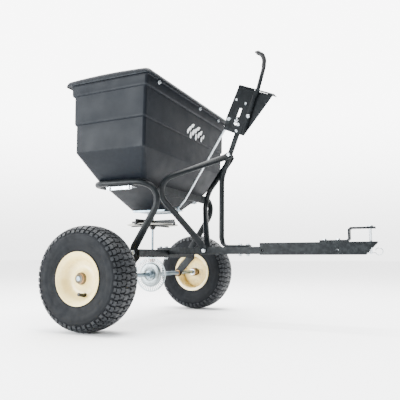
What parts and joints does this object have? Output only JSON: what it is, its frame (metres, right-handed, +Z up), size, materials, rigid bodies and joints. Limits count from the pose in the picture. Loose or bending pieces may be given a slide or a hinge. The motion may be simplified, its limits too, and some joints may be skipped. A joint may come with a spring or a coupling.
{
  "type": "tow-behind broadcast spreader",
  "caption": "Tow-behind broadcast spreader: moulded hopper on a tubular frame, turf wheels, a geared impeller and a lever-set shutter.",
  "frame": {"origin": "middle of the machine's box at ground level", "axes": "+X forward along the drawbar to the hitch, +Y to the machine's left along the axle, +Z up"},
  "size_m": [1.0076, 0.899, 0.9867],
  "materials": {
    "hopper_plastic": "moulded, satin",
    "frame_paint": "dark green-black powder coat, semi-gloss",
    "zinc": "bright zinc plate",
    "bronze": "sintered bronze, dull",
    "tyre_rubber": "matt rubber",
    "rim_paint": "cream gloss enamel",
    "black_plastic": "satin",
    "impeller_plastic": "satin"
  },
  "bodies": {
    "frame": {"hopper": "hopper_plastic", "cross_channel": "frame_paint", "drawbar_tube": "frame_paint", "shaft_support_bracket": "frame_paint", "axle_plate_right": "frame_paint", "axle_plate_left": "frame_paint", "hopper_hoop": "frame_paint", "side_brace_right": "frame_paint", "side_brace_left": "frame_paint", "brace_cross_strap": "frame_paint", "flow_tube": "frame_paint", "flow_bracket": "frame_paint", "hitch_channel": "frame_paint", "hitch_strap": "frame_paint", "tongue_spacer": "zinc", "hopper_bracket_right": "zinc", "hopper_bracket_left": "zinc", "closure_guide_right": "zinc", "closure_guide_left": "zinc", "tongue_rear_bolt": "zinc", "tongue_channel_bolt": "zinc", "brace_foot_bolt": "zinc", "brace_top_bolt": "zinc", "foot_bolt_rear": "zinc", "foot_bolt_front": "zinc", "hitch_bolt_rear": "zinc", "hitch_bolt_front": "zinc", "strap_bolt_rear": "zinc", "strap_bolt_front": "zinc", "bracket_bolt_upper": "zinc", "bracket_bolt_lower": "zinc", "shaft_bushing_lower": "bronze", "shaft_bushing_upper": "bronze", "axle_bushing_right": "bronze", "axle_bushing_left": "bronze"},
    "axle": {"axle_shaft": "zinc", "drive_gear": "zinc", "gear_hub": "zinc", "rim_right": "rim_paint", "tyre_right": "tyre_rubber", "valve_right": "black_plastic", "axle_collar_left": "zinc", "axle_cap_right": "zinc", "axle_cap_left": "zinc"},
    "left_wheel": {"rim_left": "rim_paint", "tyre_left": "tyre_rubber", "valve_left": "black_plastic"},
    "rotor": {"rotor_shaft": "zinc", "pinion": "bronze", "impeller_plate": "impeller_plastic", "impeller_fins": "black_plastic", "agitator": "zinc"},
    "lever": {"flow_lever": "frame_paint", "lever_grip": "black_plastic"},
    "flow_rod": {"flow_rod": "zinc"},
    "closure": {"closure_plate": "zinc"},
    "stop": {"stop_bolt": "zinc", "stop_wing_nut": "zinc"},
    "pin": {"hitch_pin": "zinc"},
    "clip": {"pin_clip": "zinc"}
  },
  "joints": [
    {"name": "axle_spin", "type": "hinge", "parent": "frame", "child": "axle", "pos_m": [-0.339, 0, 0.165], "axis": [0, 1, 0], "continuous": true},
    {"name": "left_wheel_spin", "type": "hinge", "parent": "axle", "child": "left_wheel", "pos_m": [-0.339, 0.3925, 0.165], "axis": [0, 1, 0], "continuous": true},
    {"name": "rotor_spin", "type": "hinge", "parent": "frame", "child": "rotor", "pos_m": [-0.339, 0, 0.3], "axis": [0, 0, 1], "continuous": true},
    {"name": "lever_tilt", "type": "hinge", "parent": "frame", "child": "lever", "pos_m": [0.069, -0.014, 0.735], "axis": [0, 1, 0], "range_deg": [0, 16]},
    {"name": "rod_swing", "type": "hinge", "parent": "lever", "child": "flow_rod", "pos_m": [-0.011, 0, 0.738], "axis": [0, 1, 0], "range_deg": [-22.5, 0]},
    {"name": "closure_slide", "type": "slide", "parent": "frame", "child": "closure", "axis": [1, 0, 0], "range_m": [0, 0.04]},
    {"name": "stop_slide", "type": "slide", "parent": "frame", "child": "stop", "axis": [-0.3548, 0, -0.935], "range_m": [0, 0.007]},
    {"name": "pin_lift", "type": "slide", "parent": "frame", "child": "pin", "axis": [0, 0, 1], "range_m": [0, 0.015]},
    {"name": "clip_pull", "type": "slide", "parent": "pin", "child": "clip", "axis": [1, 0, 0], "range_m": [0, 0.035]}
  ],
  "couplings": [
    {"joint": "rotor_spin", "follows": "axle_spin", "ratio": 5.375},
    {"joint": "rod_swing", "follows": "lever_tilt", "ratio": -1.385},
    {"joint": "closure_slide", "follows": "lever_tilt", "m_per_rad": 0.1425}
  ]
}
